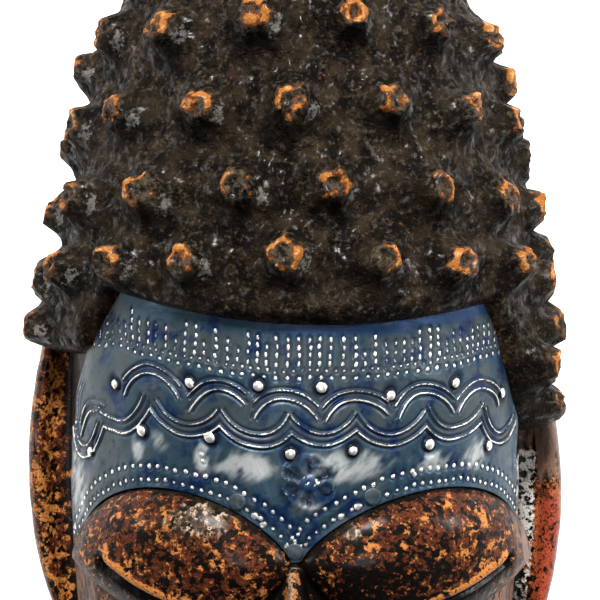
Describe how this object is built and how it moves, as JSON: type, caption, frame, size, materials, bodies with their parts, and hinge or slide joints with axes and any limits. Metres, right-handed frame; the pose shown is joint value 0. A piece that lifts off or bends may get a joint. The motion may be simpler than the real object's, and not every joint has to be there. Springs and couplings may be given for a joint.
{
  "type": "african wooden mask",
  "caption": "Carved and stained wooden mask with a tall knobbed hair dome, closed eyes and an embossed, blue-painted aluminium sheet nailed over the forehead.",
  "frame": {"origin": "on the plane of the flat back rim, under the middle of the mask's outline", "axes": "+X to the right as one looks at the face, +Y from the chin to the top of the hair, +Z out of the face; the mask lies on its back"},
  "size_m": [0.1678, 0.3528, 0.0988],
  "materials": {
    "stained_wood": "dark stain with a worn semi-gloss varnish",
    "blue_aluminium": "thin embossed sheet, blue paint rubbed off the raised work",
    "nail_steel": "dull grey, partly painted"
  },
  "bodies": {
    "root": {"carved_mask": "stained_wood", "forehead_plate": "blue_aluminium", "nail_left": "nail_steel", "nail_centre": "nail_steel", "nail_right": "nail_steel"}
  },
  "joints": []
}
